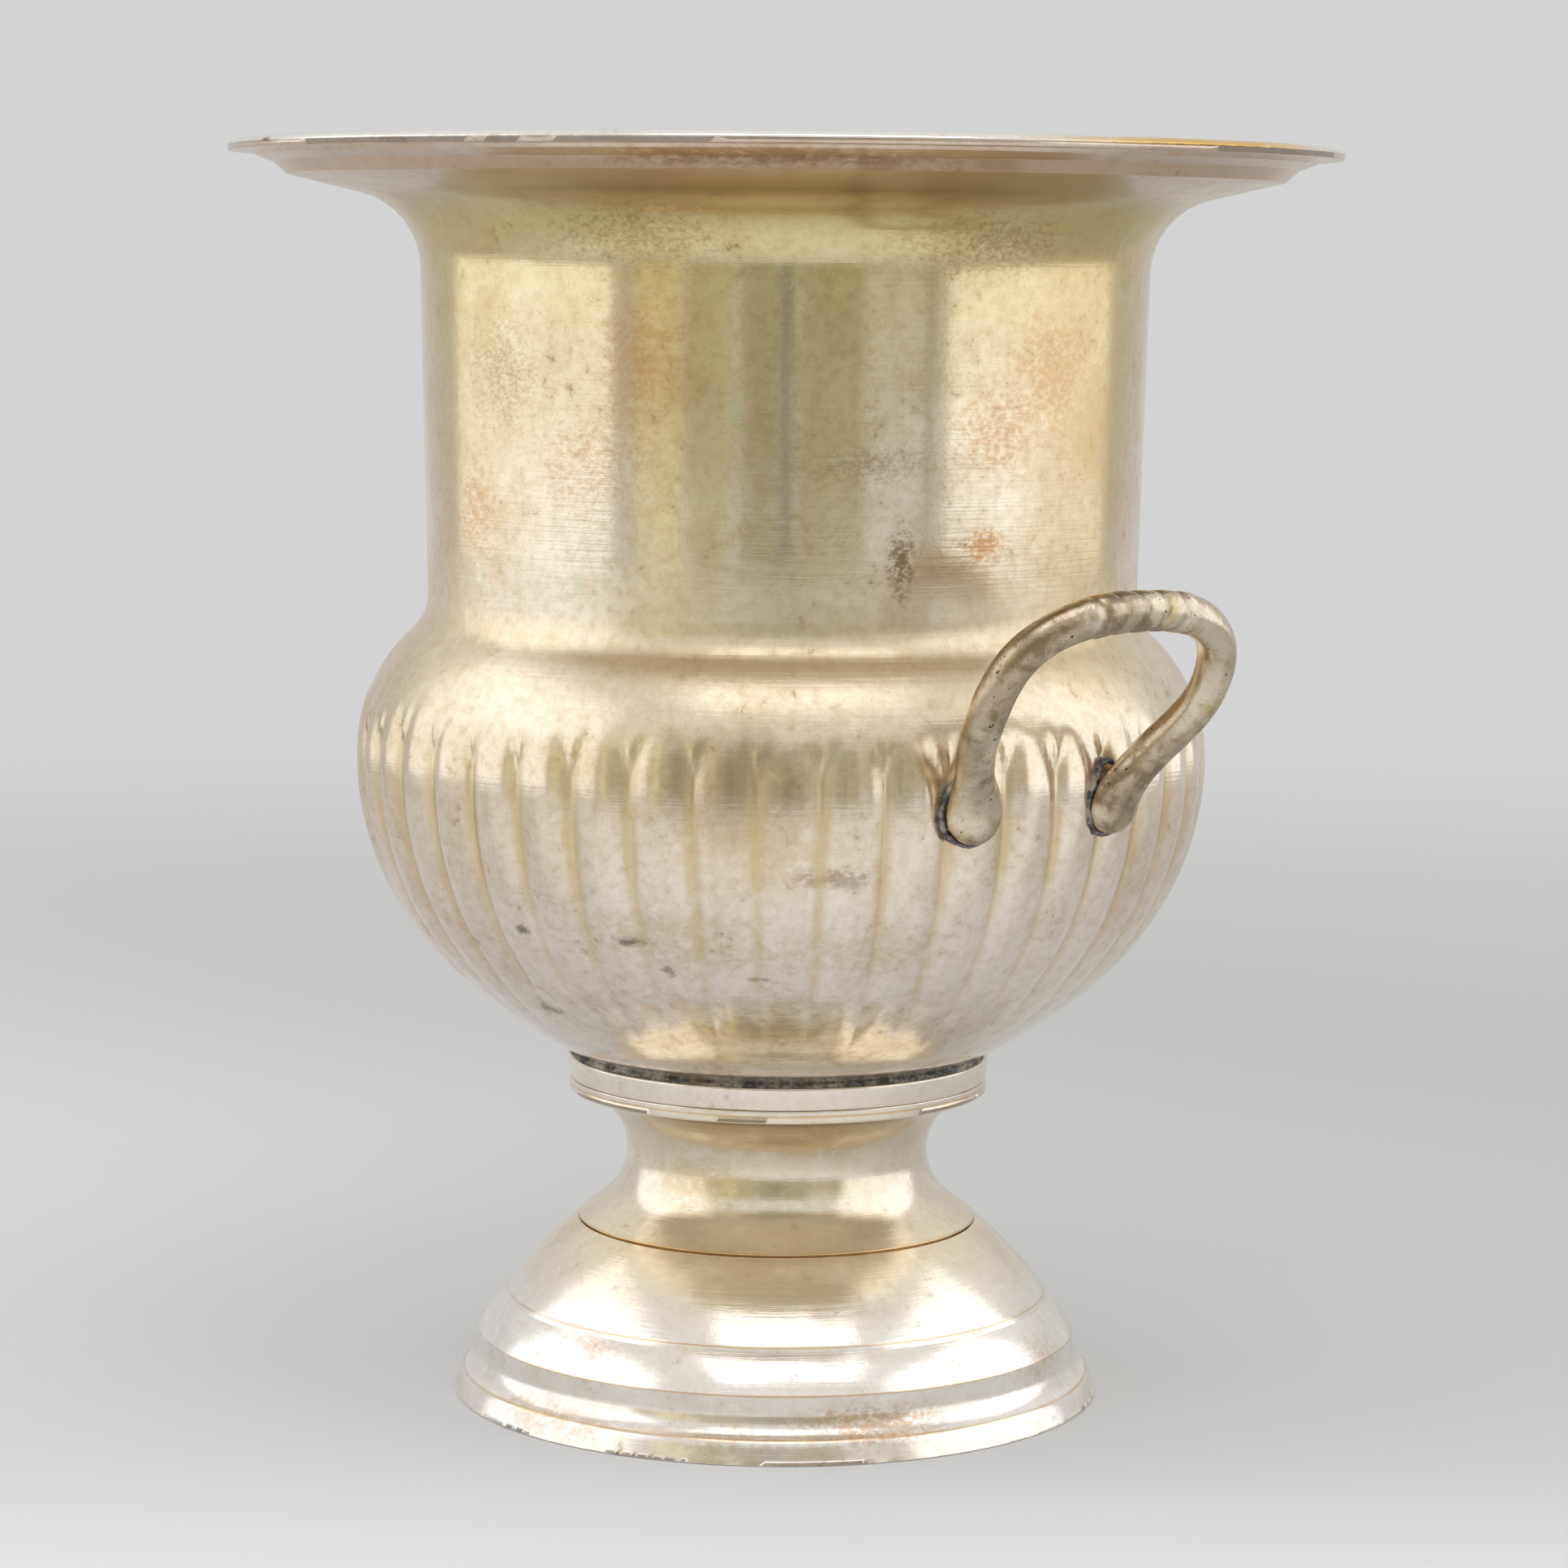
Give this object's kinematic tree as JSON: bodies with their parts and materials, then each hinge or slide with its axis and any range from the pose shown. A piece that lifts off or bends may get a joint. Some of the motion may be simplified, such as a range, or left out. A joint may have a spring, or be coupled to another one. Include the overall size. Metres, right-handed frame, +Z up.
{
  "type": "champagne bucket",
  "caption": "Urn-shaped metal champagne bucket with a fluted bowl, a wide flared brim, cast side handles and a stepped hollow foot.",
  "frame": {"origin": "centre of the foot's lower edge, on the axis, on the surface that the bucket stands on", "axes": "+Z up along the bucket's axis, +X towards the right handle, which stands 3.25 degrees round from it towards +Y"},
  "size_m": [0.2282, 0.22, 0.25],
  "materials": {
    "silver_plate": "worn silver plate over brass, tarnished and polished by hand",
    "cast_handle": "tarnished silver plate on a cast brass handle",
    "soft_solder": "dull grey soft solder"
  },
  "bodies": {
    "root": {"bucket_shell": "silver_plate", "rim_border": "silver_plate", "collar_ring": "silver_plate", "foot_stem": "silver_plate", "foot_dome": "silver_plate", "handle_right": "cast_handle", "handle_left": "cast_handle", "collar_solder": "soft_solder", "seam_solder": "soft_solder", "lug_solder_right_back": "soft_solder", "lug_solder_right_front": "soft_solder", "lug_solder_left_back": "soft_solder", "lug_solder_left_front": "soft_solder"}
  },
  "joints": []
}
